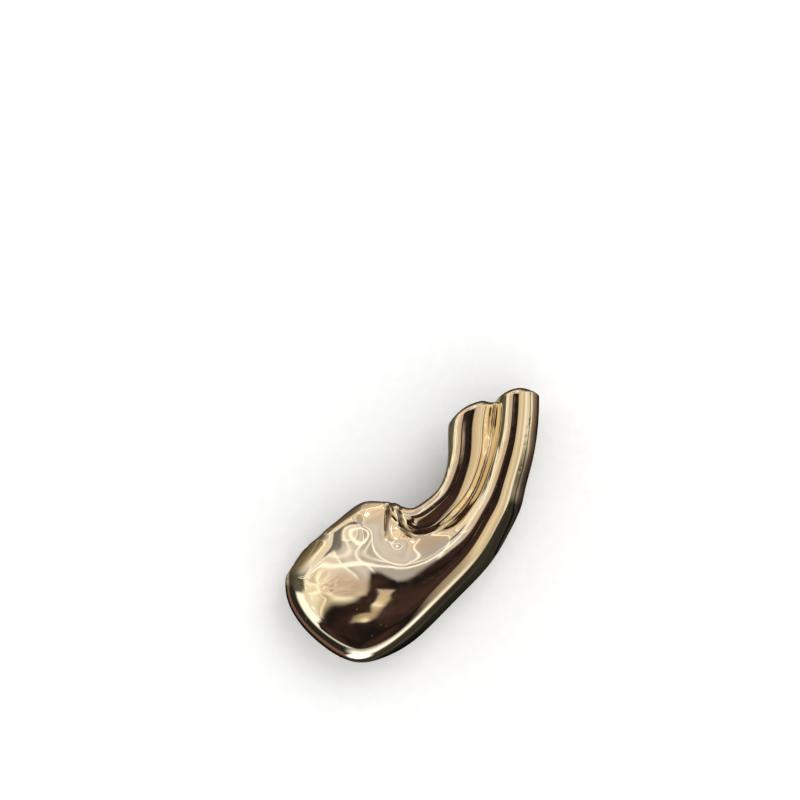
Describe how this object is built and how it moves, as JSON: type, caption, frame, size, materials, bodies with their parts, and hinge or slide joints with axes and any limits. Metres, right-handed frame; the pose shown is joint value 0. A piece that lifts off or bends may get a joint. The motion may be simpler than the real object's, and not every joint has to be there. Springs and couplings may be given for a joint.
{
  "type": "ear cuff",
  "caption": "Sculpted one-piece shell that folds over the rim of an ear from helix to lobe, with two ridges on its front and a plain back wall.",
  "frame": {"origin": "centre of the bounding box at its lowest face, the plane that the back wall rests on", "axes": "+Z from the back wall to the front, +Y towards the end at the helix, +X towards the rim at the helix"},
  "size_m": [0.0318, 0.0342, 0.0106],
  "materials": {
    "polished_gold": "mirror polished, warm pale gold"
  },
  "bodies": {
    "root": {"cuff_shell": "polished_gold"}
  },
  "joints": []
}
